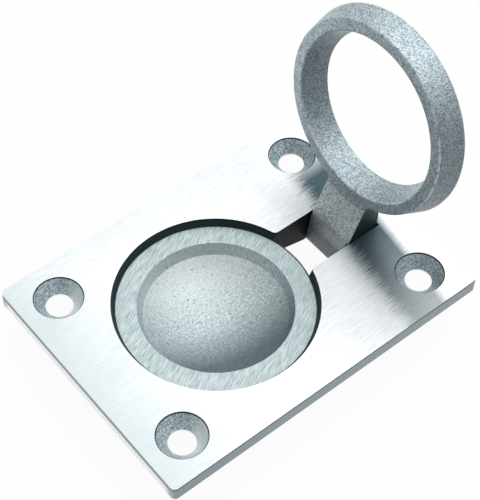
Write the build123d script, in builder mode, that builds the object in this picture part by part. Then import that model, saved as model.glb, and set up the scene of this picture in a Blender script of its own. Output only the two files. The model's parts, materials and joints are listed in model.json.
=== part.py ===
"""Flush ring pull: a cast plate with a dished finger cup, a ring that folds down into it, and its pin.

Millimetres. The origin is the middle of the screw pattern on the plate's back face, which lies on the
door or hatch. +Z points out of the door, +X from the cup towards the hinge. The ring is modelled raised.
"""
import os
from math import asin, atan, cos, degrees, radians, sin

from build123d import *

# Plate
PLATE_LENGTH = 69.5
PLATE_WIDTH = 50.8
PLATE_THICKNESS = 3.2
PLATE_CORNER_R = 1.0

# Four countersunk holes for No. 8 screws, the same distance in from both edges, eased on the back so
# that the plate sits flat
HOLE_INSET = 7.5
SCREW_HOLE_R = 2.5
COUNTERSINK_R = 4.6
COUNTERSINK_ANGLE = 82.0
HOLE_BACK_BREAK = 0.5

# Ring: its section is a trapezium, narrow on the front face that goes down into the recess. The bore
# closes in and the outside spreads towards the back.
RING_BORE_R = 15.9
RING_FRONT_WIDTH = 2.15
RING_DEPTH = 5.2
RING_BORE_TAPER = 1.6
RING_FLARE = 1.55
RING_BACK_EASE = 0.7
RING_EASE_STEP = 0.22
RING_EDGE_BREAK = 0.2

# Recess, the ledge that the folded ring lies on, and the finger cup inside it
LEDGE_DEPTH = 1.5
RING_SIDE_GAP = 0.2
RING_REST_GAP = 0.15
RECESS_WALL_LEAN = 0.55
RECESS_CORNER_R = 1.0
LEDGE_INSIDE_RING = 1.7
CUP_WALL_DEPTH = 2.2
CUP_WALL_LEAN = 1.0
DISH_DEPTH = 4.8
CUP_SHELL = 1.8

# Hinge: a plain pin across the slot, through the round knuckle at the foot of the stem. The back of the
# open stem bears on the wall at the slot's far end.
SLOT_END_MARGIN = 5.8
STOP_GAP = 0.15
HINGE_REACH = 28.0
PIN_BELOW_TOP = 1.5
PIN_R = 0.9
PIN_RUNNING_GAP = 0.05
PIN_SEAT_GAP = 0.02
PIN_BEARING = 2.6
PIN_END_GAP = 0.1
OPEN_ANGLE = 98.0
KNUCKLE_R = 6.5
KNUCKLE_FRONT_WALL = 0.65
TAIL_CORNER_R = 1.5
STEM_WIDTH = 10.0
STEM_SETBACK = 1.2
STEM_BEND_REACH = 0.8
STEM_BEND_R = 7.0
STEM_EDGE_BREAK = 0.35
SLOT_SIDE_GAP = 0.15

# Housing behind the plate: cheeks either side of the slot and a wall that closes its far end
CHEEK_WALL = 3.2
CHEEK_DEPTH = 4.5
CHEEK_DEPTH_AT_CUP = 2.6
CHEEK_LEAD = 2.6
CHEEK_CORNER_R = 2.5
CAST_ROUND = 0.6
CHANNEL_MOUTH = 1.4
CHANNEL_WIDTH = 2.6
LIP_HEIGHT = 0.7

# Places that follow from the sizes above, along the plate from its hinge end
slot_end_x = PLATE_LENGTH / 2 - SLOT_END_MARGIN
pin_x = slot_end_x - STOP_GAP - KNUCKLE_R
pin_z = PLATE_THICKNESS - PIN_BELOW_TOP
recess_x = pin_x - HINGE_REACH
front_outer_r = RING_BORE_R + RING_FRONT_WIDTH
ledge_outer_r = front_outer_r + RING_SIDE_GAP
rim_r = ledge_outer_r + RECESS_WALL_LEAN
ledge_inner_r = RING_BORE_R - LEDGE_INSIDE_RING
cup_floor_r = ledge_inner_r - CUP_WALL_LEAN
ledge_z = PLATE_THICKNESS - LEDGE_DEPTH
cup_floor_z = ledge_z - CUP_WALL_DEPTH
dish_z = cup_floor_z - DISH_DEPTH
shell_top_r = ledge_inner_r + CUP_SHELL
shell_floor_r = cup_floor_r + CUP_SHELL
stem_half = STEM_WIDTH / 2
slot_half = stem_half + SLOT_SIDE_GAP
housing_half = slot_half + CHEEK_WALL
housing_end_x = slot_end_x + CHEEK_WALL
pin_half = slot_half + PIN_BEARING
cup_axis = Axis((recess_x, 0, 0), (0, 0, 1))

# The stem's own frame: local x runs from the pin to the ring's centre, local y through the ring's
# thickness, from its front face to its back
lean = radians(OPEN_ANGLE - 90)
stem_plane = Plane(origin=(pin_x, 0, pin_z), x_dir=(sin(lean), 0, cos(lean)), z_dir=(0, 1, 0))
ring_front = PIN_BELOW_TOP - LEDGE_DEPTH + RING_REST_GAP
ring_back = ring_front + RING_DEPTH
ring_axis = Axis(
    stem_plane.from_local_coords(Vector(HINGE_REACH, 0, 0)),
    stem_plane.y_dir,
)

os.makedirs("parts", exist_ok=True)

# Body: one casting, faced flat on top
with BuildPart() as body:
    with BuildSketch(Plane.XY):
        RectangleRounded(PLATE_LENGTH, PLATE_WIDTH, PLATE_CORNER_R)
    extrude(amount=PLATE_THICKNESS)

    # Housing round the slot, shallower where it runs into the cup
    with BuildSketch(Plane.XZ):
        with BuildLine():
            Polyline(
                (recess_x + ledge_inner_r, 0),
                (housing_end_x, 0),
                (housing_end_x, -CHEEK_DEPTH),
                (pin_x - CHEEK_LEAD, -CHEEK_DEPTH),
                (recess_x + ledge_outer_r, -CHEEK_DEPTH_AT_CUP),
                (recess_x + ledge_inner_r, -CHEEK_DEPTH_AT_CUP),
                close=True,
            )
        make_face()
    extrude(amount=housing_half, both=True)
    fillet(body.edges(Select.LAST).filter_by(Axis.Z).group_by(Axis.X)[-1], CHEEK_CORNER_R)
    fillet(body.faces().filter_by(Axis.Z).sort_by(Axis.Z)[0].edges(), CAST_ROUND)

    # Outside of the cup: the inside profile stepped out by the shell
    with BuildSketch(Plane.XZ):
        with BuildLine():
            Polyline(
                (recess_x, dish_z - CUP_SHELL),
                (recess_x, 0),
                (recess_x + shell_top_r, 0),
                (recess_x + shell_floor_r, cup_floor_z - CUP_SHELL / 2),
            )
            TangentArc(
                (recess_x, dish_z - CUP_SHELL),
                (recess_x + shell_floor_r, cup_floor_z - CUP_SHELL / 2),
                tangent=(1, 0),
            )
        make_face()
    revolve(axis=cup_axis)

    # Recess for the folded ring: its leaning wall turns out into the slot round two small corners
    with BuildSketch(Plane.XY.offset(PLATE_THICKNESS)) as recess_mouth:
        with Locations((recess_x, 0)):
            Circle(rim_r)
        with Locations(((recess_x + slot_end_x) / 2, 0)):
            Rectangle(slot_end_x - recess_x, 2 * slot_half)
        fillet(recess_mouth.vertices().group_by(Axis.X)[-2], RECESS_CORNER_R)
    extrude(amount=-LEDGE_DEPTH, taper=degrees(atan(RECESS_WALL_LEAN / LEDGE_DEPTH)), mode=Mode.SUBTRACT)

    # Finger cup
    with BuildSketch(Plane.XZ):
        with BuildLine():
            Polyline(
                (recess_x, dish_z),
                (recess_x, ledge_z),
                (recess_x + ledge_inner_r, ledge_z),
                (recess_x + cup_floor_r, cup_floor_z),
            )
            TangentArc((recess_x, dish_z), (recess_x + cup_floor_r, cup_floor_z), tangent=(1, 0))
        make_face()
    revolve(axis=cup_axis, mode=Mode.SUBTRACT)

    # Slot for the stem, open right through, from the edge of the ledge to the stop wall
    with BuildSketch(Plane.XY.offset(PLATE_THICKNESS)):
        with Locations(((recess_x + slot_end_x) / 2, 0)):
            Rectangle(slot_end_x - recess_x, 2 * slot_half)
        with Locations((recess_x, 0)):
            Circle(ledge_outer_r, mode=Mode.SUBTRACT)
    extrude(amount=-(PLATE_THICKNESS + CHEEK_DEPTH), mode=Mode.SUBTRACT)

    # Seat of the pin: laid in from the back and nipped in under the pin
    with BuildSketch(Plane.XZ):
        with Locations((pin_x, pin_z)):
            Circle(PIN_R + PIN_SEAT_GAP)
        with Locations((pin_x, (pin_z - CHEEK_DEPTH) / 2)):
            Rectangle(CHANNEL_MOUTH, pin_z + CHEEK_DEPTH)
        with Locations((pin_x, -(CHEEK_DEPTH + PIN_R + LIP_HEIGHT - pin_z) / 2)):
            Rectangle(CHANNEL_WIDTH, CHEEK_DEPTH - PIN_R - LIP_HEIGHT + pin_z)
    extrude(amount=pin_half + PIN_END_GAP, both=True, mode=Mode.SUBTRACT)

    with Locations((0, 0, PLATE_THICKNESS)):
        with GridLocations(PLATE_LENGTH - 2 * HOLE_INSET, PLATE_WIDTH - 2 * HOLE_INSET, 2, 2):
            CounterSinkHole(
                radius=SCREW_HOLE_R,
                counter_sink_radius=COUNTERSINK_R,
                counter_sink_angle=COUNTERSINK_ANGLE,
            )
    chamfer(body.edges(Select.LAST).filter_by(GeomType.CIRCLE).group_by(Axis.Z)[0], HOLE_BACK_BREAK)

body.part.label = "body"
export_step(body.part, "parts/body.step")

# Ring and stem: one casting with a drilled knuckle
with BuildPart() as ring:
    # Stem: flat back against the stop wall, round knuckle about the pin, front set behind the ring's
    knuckle_front = -(PIN_R + PIN_RUNNING_GAP + KNUCKLE_FRONT_WALL)
    root_reach = HINGE_REACH - RING_BORE_R - RING_FRONT_WIDTH / 2
    root_back = (KNUCKLE_R - root_reach * sin(lean)) / cos(lean)
    flat_start = 180 - OPEN_ANGLE
    tail_angle = 180 + degrees(asin(-knuckle_front / KNUCKLE_R))
    with BuildSketch(stem_plane) as stem_side:
        with BuildLine():
            knuckle = CenterArc((0, 0), KNUCKLE_R, flat_start, tail_angle - flat_start)
            Polyline(
                knuckle @ 1,
                (STEM_BEND_REACH, knuckle_front),
                (root_reach, ring_front + STEM_SETBACK),
                (root_reach, root_back),
                knuckle @ 0,
            )
        make_face()
        fillet(stem_side.vertices().sort_by_distance((STEM_BEND_REACH, knuckle_front))[0], STEM_BEND_R)
        fillet(stem_side.vertices().sort_by_distance(knuckle @ 1)[0], TAIL_CORNER_R)
    extrude(amount=stem_half, both=True)
    chamfer(ring.faces().filter_by(Axis.Y).edges(), STEM_EDGE_BREAK)
    with BuildSketch(stem_plane):
        Circle(PIN_R + PIN_RUNNING_GAP)
    extrude(amount=stem_half, both=True, mode=Mode.SUBTRACT)

    with BuildSketch(stem_plane) as ring_section:
        with BuildLine():
            Polyline(
                (HINGE_REACH + RING_BORE_R, ring_front),
                (HINGE_REACH + front_outer_r, ring_front),
                (HINGE_REACH + front_outer_r + RING_FLARE, ring_back),
                (HINGE_REACH + RING_BORE_R - RING_BORE_TAPER, ring_back),
                close=True,
            )
        make_face()
        back_inner, back_outer = ring_section.vertices().sort_by(Axis.Y)[-2:].sort_by(Axis.X)
        chamfer([*ring_section.vertices().sort_by(Axis.Y)[:2], back_inner], RING_EDGE_BREAK)
        chamfer(back_outer, RING_BACK_EASE)
        chamfer(ring_section.vertices().sort_by(Axis.X)[-1], RING_EASE_STEP)
        chamfer(ring_section.vertices().group_by(Axis.Y)[-1].sort_by(Axis.X)[-1], RING_EASE_STEP)
    revolve(axis=ring_axis)

ring.part.label = "ring"
export_step(ring.part, "parts/ring.step")

# Hinge pin: plain round wire, square cut
with BuildPart() as hinge_pin:
    with BuildSketch(Plane.XZ):
        with Locations((pin_x, pin_z)):
            Circle(PIN_R)
    extrude(amount=pin_half, both=True)

hinge_pin.part.label = "hinge_pin"
export_step(hinge_pin.part, "parts/hinge_pin.step")
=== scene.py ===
import json
import math

import bpy
from mathutils import Matrix, Vector


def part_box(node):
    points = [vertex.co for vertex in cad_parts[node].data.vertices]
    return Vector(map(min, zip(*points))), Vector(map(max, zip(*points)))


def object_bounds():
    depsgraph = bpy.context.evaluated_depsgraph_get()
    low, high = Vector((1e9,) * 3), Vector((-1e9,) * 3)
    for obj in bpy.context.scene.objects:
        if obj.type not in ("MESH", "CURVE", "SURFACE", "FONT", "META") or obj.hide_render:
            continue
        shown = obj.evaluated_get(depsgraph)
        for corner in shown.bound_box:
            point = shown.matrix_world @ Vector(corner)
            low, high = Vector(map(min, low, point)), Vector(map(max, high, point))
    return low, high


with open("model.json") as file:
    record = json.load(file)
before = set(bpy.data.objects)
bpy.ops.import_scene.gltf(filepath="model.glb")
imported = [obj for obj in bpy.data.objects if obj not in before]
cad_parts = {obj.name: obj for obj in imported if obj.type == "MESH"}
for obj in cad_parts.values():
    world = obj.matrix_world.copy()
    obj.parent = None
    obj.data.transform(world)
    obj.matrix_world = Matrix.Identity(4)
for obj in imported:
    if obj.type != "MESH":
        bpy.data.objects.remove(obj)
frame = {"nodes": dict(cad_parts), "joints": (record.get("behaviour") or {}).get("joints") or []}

cad_low, cad_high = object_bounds()


# ---------------------------------------------------------------------------------------------
# Camera. A long lens looks down on the pull from the cup's side, turned a little about its axis
# so that the plate's long edge climbs to the right.
# ---------------------------------------------------------------------------------------------
mm = 0.001
camera_azimuth = math.radians(49.14)
camera_drop = math.radians(52.50)
camera_roll = math.radians(2.12)
camera_distance = 263.36 * mm
camera_aim = Vector((4.84 * mm, 6.22 * mm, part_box("body")[1][2]))

look = Vector((
    math.cos(camera_drop) * math.cos(camera_azimuth),
    math.cos(camera_drop) * math.sin(camera_azimuth),
    -math.sin(camera_drop),
))
level_right = Vector((math.sin(camera_azimuth), -math.cos(camera_azimuth), 0))
level_up = level_right.cross(look)
right = level_right * math.cos(camera_roll) + level_up * math.sin(camera_roll)
up = level_up * math.cos(camera_roll) - level_right * math.sin(camera_roll)

camera_data = bpy.data.cameras.new("camera")
camera_data.lens = 103.69
camera_data.sensor_width = 36
camera_data.clip_start = 0.01
camera = bpy.data.objects.new("camera", camera_data)
camera.matrix_world = (
    Matrix.Translation(camera_aim - look * camera_distance)
    @ Matrix((right, up, -look)).transposed().to_4x4()
)
bpy.context.scene.collection.objects.link(camera)
bpy.context.scene.camera = camera


# ---------------------------------------------------------------------------------------------
# Stage and light. A white table under the pull, and a dim even studio with three broad soft
# panels high up in it. There are no lamps.
# ---------------------------------------------------------------------------------------------
def add_node(tree, kind, settings=None, **inputs):
    """Add a shader node, set its properties, then fill its inputs with values or links."""
    node = tree.nodes.new("ShaderNode" + kind)
    for name, value in (settings or {}).items():
        setattr(node, name, value)
    for name, value in inputs.items():
        socket = node.inputs[int(name[1:])] if name[1:].isdigit() else node.inputs[name.replace("_", " ")]
        if isinstance(value, bpy.types.NodeSocket):
            tree.links.new(value, socket)
        else:
            socket.default_value = value
    return node


def math_node(tree, operation, *values):
    """One Math node; the result is clamped only where an operation such as a comparison does it."""
    inputs = {f"i{place}": value for place, value in enumerate(values)}
    return add_node(tree, "Math", {"operation": operation}, **inputs).outputs[0]


def ramp_node(tree, value, low, high, start=0.0, end=1.0):
    """Map a value from low..high onto start..end and hold it at the ends."""
    node = add_node(tree, "MapRange", None, Value=value)
    node.inputs["From Min"].default_value = low
    node.inputs["From Max"].default_value = high
    node.inputs["To Min"].default_value = start
    node.inputs["To Max"].default_value = end
    return node.outputs[0]


def mix_colours(tree, share, first, second):
    """Blend two colours or colour sockets by a share from 0 to 1."""
    node = add_node(tree, "Mix", {"data_type": "RGBA"})
    for socket, value in ((node.inputs[0], share), (node.inputs[6], first), (node.inputs[7], second)):
        if isinstance(value, bpy.types.NodeSocket):
            tree.links.new(value, socket)
        else:
            socket.default_value = value
    return node.outputs[2]


world = bpy.data.worlds.new("studio")
bpy.context.scene.world = world
world.use_nodes = True
sky = world.node_tree
sky.nodes.clear()
direction = add_node(sky, "TexCoord").outputs["Generated"]
# Each panel: compass direction and height in degrees, how far it spreads, and how bright it is.
# The first is the key, the second faces the camera for the flat plate to mirror, and the third fills.
panels = (
    (-40, 60, 35, 1.1),
    (30, 45, 30, 0.95),
    (140, 45, 30, 0.5),
)
strength = 0.10
for compass, height, spread, bright in panels:
    compass, height, spread = map(math.radians, (compass, height, spread))
    facing_panel = add_node(sky, "VectorMath", {"operation": "DOT_PRODUCT"}, i0=direction, i1=(
        math.cos(height) * math.cos(compass), math.cos(height) * math.sin(compass), math.sin(height),
    )).outputs["Value"]
    # A bell round the panel's middle, written with the cosine of the angle to it
    closeness = math_node(sky, "DIVIDE", math_node(sky, "SUBTRACT", facing_panel, 1.0), spread * spread)
    panel = math_node(sky, "MULTIPLY", math_node(sky, "EXPONENT", closeness), bright)
    strength = math_node(sky, "ADD", strength, panel)
background = add_node(sky, "Background", None, Color=(1.0, 1.0, 1.0, 1.0), Strength=strength)
add_node(sky, "OutputWorld", None, Surface=background.outputs[0])

floor_mesh = bpy.data.meshes.new("floor")
reach = 3.0
floor_level = cad_low[2]
floor_mesh.from_pydata(
    [(-reach, -reach, floor_level), (reach, -reach, floor_level),
     (reach, reach, floor_level), (-reach, reach, floor_level)],
    [], [(0, 1, 2, 3)],
)
floor = bpy.data.objects.new("floor", floor_mesh)
bpy.context.scene.collection.objects.link(floor)
floor_material = bpy.data.materials.new("white_table")
floor_material.use_nodes = True
paper = floor_material.node_tree
paper.nodes.clear()
rays = add_node(paper, "LightPath")
seen = math_node(paper, "MAXIMUM", rays.outputs["Is Camera Ray"], rays.outputs["Is Transmission Ray"])
seen = math_node(paper, "MAXIMUM", seen, rays.outputs["Is Glossy Ray"])
matt = add_node(paper, "BsdfDiffuse", None, Color=(0.90, 0.90, 0.90, 1.0))
glow = add_node(paper, "Emission", None, Color=(1.0, 1.0, 1.0, 1.0), Strength=1.0)
table = add_node(paper, "MixShader", None, i0=math_node(paper, "MULTIPLY", seen, 0.94),
                 i1=matt.outputs[0], i2=glow.outputs[0])
add_node(paper, "OutputMaterial", None, Surface=table.outputs[0])
floor_mesh.materials.append(floor_material)


# ---------------------------------------------------------------------------------------------
# Body. One casting in a white alloy: the top is faced and brushed along its length, the ledge is
# scuffed on the skew, the cup and the countersinks are blasted, and the walls are painted dark as shade.
# ---------------------------------------------------------------------------------------------
body = frame["nodes"]["body"]
body_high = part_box("body")[1]
top = body_high[2]
half_length = body_high[0]
half_width = body_high[1]
recess_x = -5.7 * mm
ledge_z = top - 1.5 * mm
ledge_inner_r = 14.2 * mm
ledge_outer_r = 18.25 * mm
hole_inset = 7.5 * mm
screw_x = half_length - hole_inset
screw_y = half_width - hole_inset
countersink_r = 4.6 * mm
skew = math.radians(27)
skin = 0.03 * mm
hole_margin = 0.05 * mm
edge_strip = 0.9 * mm


def start_metal(name, anisotropy):
    """An empty metal material; returns it, its node tree and its one shader."""
    material = bpy.data.materials.new(name)
    material.use_nodes = True
    tree = material.node_tree
    tree.nodes.clear()
    shader = add_node(tree, "BsdfPrincipled", None, Metallic=1.0, Anisotropic=anisotropy)
    add_node(tree, "OutputMaterial", None, Surface=shader.outputs[0])
    return material, tree, shader


def grain_of(tree, place, cells_per_metre, stretch=(1, 1, 1), turn=0.0, detail=4.0, rough=0.5):
    """Noise of a real cell size, stretched for brush strokes and turned about Z."""
    turned = add_node(tree, "VectorRotate", {"rotation_type": "Z_AXIS"}, Vector=place, Angle=-turn)
    mapping = add_node(tree, "Mapping", None, Vector=turned.outputs[0], Scale=stretch)
    noise = add_node(tree, "TexNoise", None, Vector=mapping.outputs[0], Scale=cells_per_metre,
                     Detail=detail, Roughness=rough)
    return noise.outputs[0]


def both(tree, *masks):
    """Where every mask holds."""
    result = masks[0]
    for mask in masks[1:]:
        result = math_node(tree, "MULTIPLY", result, mask)
    return result


def distance_to(tree, first, second, first_centre, second_centre):
    """Distance in a plane from a centre."""
    first = math_node(tree, "SUBTRACT", first, first_centre)
    second = math_node(tree, "SUBTRACT", second, second_centre)
    first_squared = math_node(tree, "MULTIPLY", first, first)
    second_squared = math_node(tree, "MULTIPLY", second, second)
    return math_node(tree, "SQRT", math_node(tree, "ADD", first_squared, second_squared))


def not_on(tree, mask):
    """Where a mask does not hold."""
    return math_node(tree, "SUBTRACT", 1.0, mask)


def two_tone(tree, grain, low, high, dark, light):
    """A metal colour that follows its grain from dark to light."""
    return mix_colours(tree, ramp_node(tree, grain, low, high), dark, light)


metal, tree, shader = start_metal("cast_body", 0.7)
coordinates = add_node(tree, "TexCoord")
place = coordinates.outputs["Object"]
x, y, z = add_node(tree, "SeparateXYZ", None, Vector=place).outputs
facing = add_node(tree, "SeparateXYZ", None, Vector=coordinates.outputs["Normal"])
facing_x, facing_y, facing_up = facing.outputs
out_x = math_node(tree, "ABSOLUTE", x)
out_y = math_node(tree, "ABSOLUTE", y)
from_cup_x = math_node(tree, "SUBTRACT", x, recess_x)
from_cup = distance_to(tree, x, y, recess_x, 0.0)
from_screw = distance_to(tree, out_x, out_y, screw_x, screw_y)

on_top = math_node(tree, "GREATER_THAN", z, top - skin)
above_back = math_node(tree, "GREATER_THAN", z, -0.01 * mm)
level = math_node(tree, "GREATER_THAN", facing_up, 0.98)
on_ledge = both(tree, level, math_node(tree, "COMPARE", z, ledge_z, 0.05 * mm))
in_cup = both(tree, math_node(tree, "LESS_THAN", from_cup, ledge_inner_r + 0.01 * mm),
              math_node(tree, "GREATER_THAN", facing_up, 0.02),
              math_node(tree, "LESS_THAN", z, ledge_z - skin))
in_screw_hole = both(tree, math_node(tree, "LESS_THAN", from_screw, countersink_r + hole_margin),
                     not_on(tree, on_top))
on_cone = both(tree, in_screw_hole, math_node(tree, "GREATER_THAN", facing_up, 0.2))
outer_side = math_node(tree, "MAXIMUM", math_node(tree, "GREATER_THAN", out_x, half_length - edge_strip),
                       math_node(tree, "GREATER_THAN", out_y, half_width - edge_strip))
on_side = both(tree, outer_side, above_back, not_on(tree, on_top))
upright = math_node(tree, "LESS_THAN", math_node(tree, "ABSOLUTE", facing_up), 0.45)
in_well = both(tree, upright, not_on(tree, outer_side),
               math_node(tree, "GREATER_THAN", from_screw, countersink_r + hole_margin),
               not_on(tree, in_cup), math_node(tree, "GREATER_THAN", z, -4.6 * mm))

strokes_along = grain_of(tree, place, 1.0, (260, 6800, 260), detail=3.0, rough=0.7)
strokes_skew = grain_of(tree, place, 1.0, (480, 5600, 480), skew, detail=2.0, rough=0.6)
blasted = grain_of(tree, place, 2500.0, detail=2.0, rough=0.65)
cloudy = grain_of(tree, place, 160.0, detail=2.0)

# Rough casting behind, and the recess and slot walls painted near black as shade, darkest just under the
# top edge
cast_colour = two_tone(tree, blasted, 0.35, 0.65, (0.20, 0.25, 0.27, 1), (0.30, 0.36, 0.38, 1))
leaning = math_node(tree, "GREATER_THAN", facing_up, 0.2)
top_edge_shade = math_node(tree, "GREATER_THAN", z, top - 0.22 * mm)
well_shade_colour = mix_colours(tree, leaning, (0.010, 0.014, 0.017, 1), (0.045, 0.065, 0.075, 1))
well_shade_colour = mix_colours(tree, top_edge_shade, well_shade_colour, (0.006, 0.008, 0.010, 1))
colour = mix_colours(tree, in_well, cast_colour, well_shade_colour)

# The ends are painted bright below a dull strip as a reflection of the white table; the long sides stay
# grey, with a painted shade line along the top
end_face = ramp_node(tree, math_node(tree, "ABSOLUTE", facing_x), 0.55, 0.98)
below_strip = ramp_node(tree, z, top - 1.5 * mm, top - 1.1 * mm, 1.0, 0.0)
off_corner = ramp_node(tree, out_y, half_width - 2.5 * mm, half_width - 1.0 * mm, 1.0, 0.25)
# Painted reflection of the white table on the lower part of the ends
end_table_reflection = both(tree, end_face, below_strip, off_corner)
# A painted shade line along the top edge of the long sides
arris = math_node(tree, "GREATER_THAN", z, top - 0.4 * mm)
long_arris = both(tree, arris, not_on(tree, end_face))
side_colour = mix_colours(tree, end_table_reflection, (0.32, 0.38, 0.41, 1), (0.97, 0.98, 0.98, 1))
side_colour = mix_colours(tree, long_arris, side_colour, (0.05, 0.07, 0.08, 1))
colour = mix_colours(tree, on_side, colour, side_colour)

# The cup is painted with a highlight at its far side and shade at its near side, with a few dark pits
along_cup = math_node(tree, "MULTIPLY", from_cup_x, 0.2)
across_cup = math_node(tree, "MULTIPLY", y, 0.98)
shading = math_node(tree, "ADD", along_cup, across_cup)
cup_shade_share = ramp_node(tree, shading, 1 * mm, -9 * mm, 0.0, 0.76)
cup_highlight_share = ramp_node(tree, shading, 2 * mm, 9 * mm, 0.0, 0.45)
pits = ramp_node(tree, grain_of(tree, place, 1300.0, detail=1.0), 0.735, 0.75, 0.0, 0.6)
cup_colour = two_tone(tree, blasted, 0.34, 0.66, (0.38, 0.47, 0.49, 1), (0.74, 0.82, 0.83, 1))
cup_colour = mix_colours(tree, cup_shade_share, cup_colour, (0.10, 0.14, 0.165, 1))
cup_colour = mix_colours(tree, cup_highlight_share, cup_colour, (0.95, 1.0, 1.0, 1))
cup_colour = mix_colours(tree, pits, cup_colour, (0.10, 0.14, 0.16, 1))
colour = mix_colours(tree, in_cup, colour, cup_colour)

# Screw holes: bright drilled walls and grainy cones, with a painted shade line under each rim. The cones
# of the cup end carry a painted highlight on one flank, and one cone at the hinge end painted shade.
cup_end = math_node(tree, "LESS_THAN", x, 0.0)
lit_cone_flank = ramp_node(tree, math_node(tree, "SUBTRACT", facing_y, facing_x), 0.1, 0.9, 0.0, 0.7)
hinge_end = math_node(tree, "GREATER_THAN", x, 0.0)
shaded_cone_corner = both(tree, hinge_end, math_node(tree, "LESS_THAN", y, 0.0))
shaded_cone_corner = math_node(tree, "MULTIPLY", shaded_cone_corner, 0.16)
cone_colour = two_tone(tree, blasted, 0.40, 0.60, (0.28, 0.37, 0.40, 1), (0.66, 0.76, 0.80, 1))
cone_colour = mix_colours(tree, shaded_cone_corner, cone_colour, (0.05, 0.07, 0.08, 1))
cone_colour = mix_colours(tree, both(tree, cup_end, lit_cone_flank), cone_colour, (0.95, 1.0, 1.0, 1))
rim_shade_line = both(tree, in_screw_hole, top_edge_shade)
colour = mix_colours(tree, in_screw_hole, colour, (0.95, 0.96, 0.97, 1))
colour = mix_colours(tree, on_cone, colour, cone_colour)
colour = mix_colours(tree, rim_shade_line, colour, (0.03, 0.04, 0.05, 1))

# The ledge is scuffed on the skew, with a thin line of painted shade in the corner under the recess wall
uneven = math_node(tree, "ADD", from_cup, math_node(tree, "MULTIPLY", cloudy, 0.3 * mm))
corner_shade_line = math_node(tree, "GREATER_THAN", uneven, ledge_outer_r - 0.12 * mm)
ledge_colour = two_tone(tree, strokes_skew, 0.32, 0.66, (0.34, 0.42, 0.43, 1), (0.66, 0.76, 0.77, 1))
ledge_colour = mix_colours(tree, corner_shade_line, ledge_colour, (0.05, 0.07, 0.08, 1))
colour = mix_colours(tree, on_ledge, colour, ledge_colour)

# The brushed top is nearly white and goes greyer towards both ends and the back edge
cloud_shift = math_node(tree, "MULTIPLY", math_node(tree, "SUBTRACT", cloudy, 0.5), 9 * mm)
cloudy_x = math_node(tree, "ADD", x, cloud_shift)
cloudy_y = math_node(tree, "ADD", y, cloud_shift)
near_cup_end = ramp_node(tree, cloudy_x, -34 * mm, -15 * mm, 0.75, 0.0)
near_hinge_end = ramp_node(tree, cloudy_x, 28 * mm, 36 * mm, 0.0, 0.50)
near_back = ramp_node(tree, cloudy_y, 15 * mm, 26 * mm, 0.0, 0.45)
greyer = math_node(tree, "MAXIMUM", near_hinge_end, near_back)
greyer = math_node(tree, "MAXIMUM", near_cup_end, greyer)
top_colour = two_tone(tree, strokes_along, 0.28, 0.58, (0.68, 0.73, 0.75, 1), (0.97, 0.98, 0.99, 1))
top_colour = mix_colours(tree, greyer, top_colour, (0.58, 0.66, 0.68, 1))
colour = mix_colours(tree, on_top, colour, top_colour)

# A dark band of painted shade, the stem's reflection in the brushed face, crosses the plate beside the
# stem, ragged on the cup side and clean on the hinge side. It is painted, since soft light alone leaves the
# plate even there.
lean = math_node(tree, "MULTIPLY", math_node(tree, "ADD", y, 5.6 * mm), 0.15)
leaned = math_node(tree, "SUBTRACT", x, lean)
ragged = math_node(tree, "MULTIPLY", math_node(tree, "SUBTRACT", strokes_along, 0.5), 10 * mm)
band_start = ramp_node(tree, math_node(tree, "ADD", leaned, ragged), 19.6 * mm, 22.4 * mm)
band_end = ramp_node(tree, leaned, 28.6 * mm, 30.6 * mm, 1.0, 0.0)
fades_front = ramp_node(tree, y, -58 * mm, -6 * mm, 0.0, 1.0)
fades_back = ramp_node(tree, y, 11 * mm, 18 * mm, 1.0, 0.0)
fades = math_node(tree, "MINIMUM", fades_front, fades_back)
stem_reflection_shade = both(tree, band_start, band_end, fades, on_top)
stem_reflection_shade = math_node(tree, "MULTIPLY", stem_reflection_shade, 0.98)
colour = mix_colours(tree, stem_reflection_shade, colour, (0.055, 0.095, 0.115, 1))
tree.links.new(colour, shader.inputs["Base Color"])

rough = ramp_node(tree, on_top, 0.0, 1.0, 0.52, 0.45)
tree.links.new(rough, shader.inputs["Roughness"])
brushed_relief = math_node(tree, "MULTIPLY", on_top, math_node(tree, "MULTIPLY", strokes_along, 0.25))
cast_relief = math_node(tree, "MULTIPLY", not_on(tree, on_top), blasted)
relief = math_node(tree, "ADD", brushed_relief, cast_relief)
bump = add_node(tree, "Bump", None, Height=relief, Strength=0.4, Distance=0.00008)
tree.links.new(bump.outputs[0], shader.inputs["Normal"])
scatter = add_node(tree, "TexNoise", None, Vector=place, Scale=9000.0).outputs["Color"]
scatter = add_node(tree, "VectorMath", {"operation": "SUBTRACT"}, i0=scatter, i1=(0.5, 0.5, 0.5)).outputs[0]
lay = mix_colours(tree, on_ledge, scatter, (-math.sin(skew), math.cos(skew), 0.0, 1))
lay = mix_colours(tree, on_top, lay, (0.0, 1.0, 0.0, 1))
tree.links.new(lay, shader.inputs["Tangent"])
for slot in body.material_slots:
    slot.material = metal


# ---------------------------------------------------------------------------------------------
# Ring, stem and knuckle. One casting, blasted all over and left grainy, with painted highlights in
# patches along its two front edges and painted shade on its flanks and stem. It turns on the pin.
# ---------------------------------------------------------------------------------------------
ring = frame["nodes"]["ring"]
hinge = Vector(frame["joints"][0]["pos_m"])
ring_lean = math.radians(8)
ring_centre = hinge + Vector((math.sin(ring_lean), 0, math.cos(ring_lean))) * 28 * mm
bore_r = 15.9 * mm
front_outer_r = 18.05 * mm
front_face = 0.15 * mm

ring_metal, tree, shader = start_metal("cast_ring", 0.0)
shader.inputs["Roughness"].default_value = 0.46
place = add_node(tree, "TexCoord").outputs["Object"]
from_centre = add_node(tree, "VectorMath", {"operation": "SUBTRACT"}, i0=place, i1=ring_centre).outputs[0]
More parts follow.
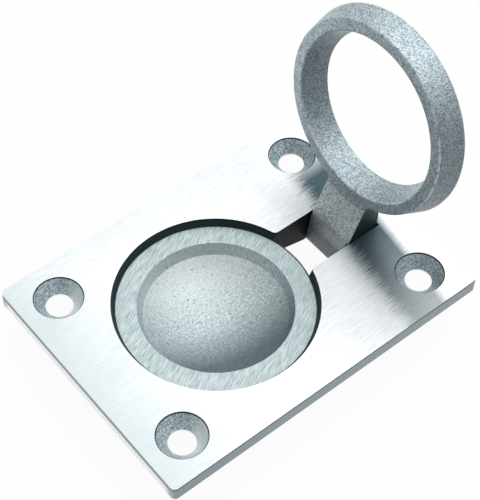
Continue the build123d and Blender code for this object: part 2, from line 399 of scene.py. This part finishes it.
# Turned about the hinge's line so that X runs through the ring from its front face to its back
upright_ring = add_node(tree, "VectorRotate", {"rotation_type": "Y_AXIS"},
                        Vector=from_centre, Angle=-ring_lean)
through, across, up_ring = add_node(tree, "SeparateXYZ", None, Vector=upright_ring.outputs[0]).outputs
radius = distance_to(tree, across, up_ring, 0.0, 0.0)

coarse = grain_of(tree, place, 3000.0, detail=2.0, rough=0.7)
mottled = grain_of(tree, place, 1100.0, detail=2.0)
fine_part = math_node(tree, "MULTIPLY", coarse, 0.8)
mottled_part = math_node(tree, "MULTIPLY", mottled, 0.2)
speckle = math_node(tree, "ADD", fine_part, mottled_part)
colour = two_tone(tree, speckle, 0.41, 0.59, (0.30, 0.39, 0.43, 1), (0.70, 0.80, 0.84, 1))
# The near flank is painted darker as shade, and the stem's sides painted almost black as shade
facing = add_node(tree, "SeparateXYZ", None, Vector=add_node(tree, "TexCoord").outputs["Normal"]).outputs
flank_shade = ramp_node(tree, facing[1], -0.98, -0.40, 0.66, 0.0)
on_stem = math_node(tree, "GREATER_THAN", radius, front_outer_r + 1.6 * mm)
sideways = math_node(tree, "GREATER_THAN", math_node(tree, "ABSOLUTE", facing[1]), 0.8)
colour = mix_colours(tree, flank_shade, colour, (0.02, 0.03, 0.04, 1))
colour = mix_colours(tree, both(tree, on_stem, sideways), colour, (0.045, 0.065, 0.075, 1))
# The ring's front face is painted a little darker than its flare, as shade
forward = math_node(tree, "LESS_THAN", facing[0], -0.6)
on_front = both(tree, not_on(tree, on_stem), forward)
darker_share = ramp_node(tree, across, 2 * mm, 14 * mm, 0.34, 0.14)
front_face_shade = math_node(tree, "MULTIPLY", on_front, darker_share)
colour = mix_colours(tree, front_face_shade, colour, (0.02, 0.03, 0.04, 1))
# The stem's front is painted brightest half way up as a highlight, with painted shade under the ring and at
# the foot
height = add_node(tree, "SeparateXYZ", None, Vector=place).outputs[2]
shade_under_ring = ramp_node(tree, height, 5 * mm, 11 * mm, 0.0, 0.34)
shade_at_foot = ramp_node(tree, height, 0.0, 4.5 * mm, 0.85, 0.0)
stem_front = two_tone(tree, speckle, 0.40, 0.60, (0.38, 0.50, 0.56, 1), (0.98, 1.0, 1.0, 1))
stem_front = mix_colours(tree, shade_under_ring, stem_front, (0.06, 0.08, 0.09, 1))
stem_front = mix_colours(tree, shade_at_foot, stem_front, (0.06, 0.08, 0.09, 1))
colour = mix_colours(tree, both(tree, on_stem, forward), colour, stem_front)
# Two front edges carry painted highlights in patches: the outer one at the top, the bore's at the bottom
edge_width = 0.24 * mm
at_front = math_node(tree, "LESS_THAN", through, front_face + edge_width)
behind_face = math_node(tree, "GREATER_THAN", through, front_face + 0.01 * mm)
outermost = math_node(tree, "GREATER_THAN", radius, front_outer_r - edge_width)
innermost = math_node(tree, "LESS_THAN", radius, bore_r + edge_width)
upper_side = math_node(tree, "SUBTRACT", up_ring, across)
lower_side = math_node(tree, "MULTIPLY", up_ring, -1.0)
highlight_top = ramp_node(tree, upper_side, -4 * mm, 10 * mm, 0.0, 0.35)
highlight_bottom = ramp_node(tree, lower_side, 6 * mm, 11 * mm, 0.0, 0.7)
patchy = ramp_node(tree, mottled, 0.35, 0.50)
outer_edge_highlight = both(tree, at_front, outermost, behind_face, highlight_top, patchy)
bore_edge_highlight = both(tree, at_front, innermost, behind_face, highlight_bottom, patchy)
colour = mix_colours(tree, outer_edge_highlight, colour, (0.92, 0.95, 0.96, 1))
colour = mix_colours(tree, bore_edge_highlight, colour, (0.88, 0.93, 0.95, 1))
tree.links.new(colour, shader.inputs["Base Color"])
bump = add_node(tree, "Bump", None, Height=speckle, Strength=0.9, Distance=0.00022)
tree.links.new(bump.outputs[0], shader.inputs["Normal"])
for slot in ring.material_slots:
    slot.material = ring_metal


# ---------------------------------------------------------------------------------------------
# Hinge pin. Drawn steel wire, cut square, hidden in the cheeks.
# ---------------------------------------------------------------------------------------------
pin = frame["nodes"]["hinge_pin"]
pin_metal, tree, shader = start_metal("drawn_wire", 0.0)
place = add_node(tree, "TexCoord").outputs["Object"]
drawn = grain_of(tree, place, 1.0, (3000, 120, 3000))
colour = mix_colours(tree, drawn, (0.45, 0.48, 0.5, 1), (0.65, 0.67, 0.68, 1))
tree.links.new(colour, shader.inputs["Base Color"])
shader.inputs["Roughness"].default_value = 0.3
for slot in pin.material_slots:
    slot.material = pin_metal


bpy.context.scene.view_settings.view_transform = "Standard"
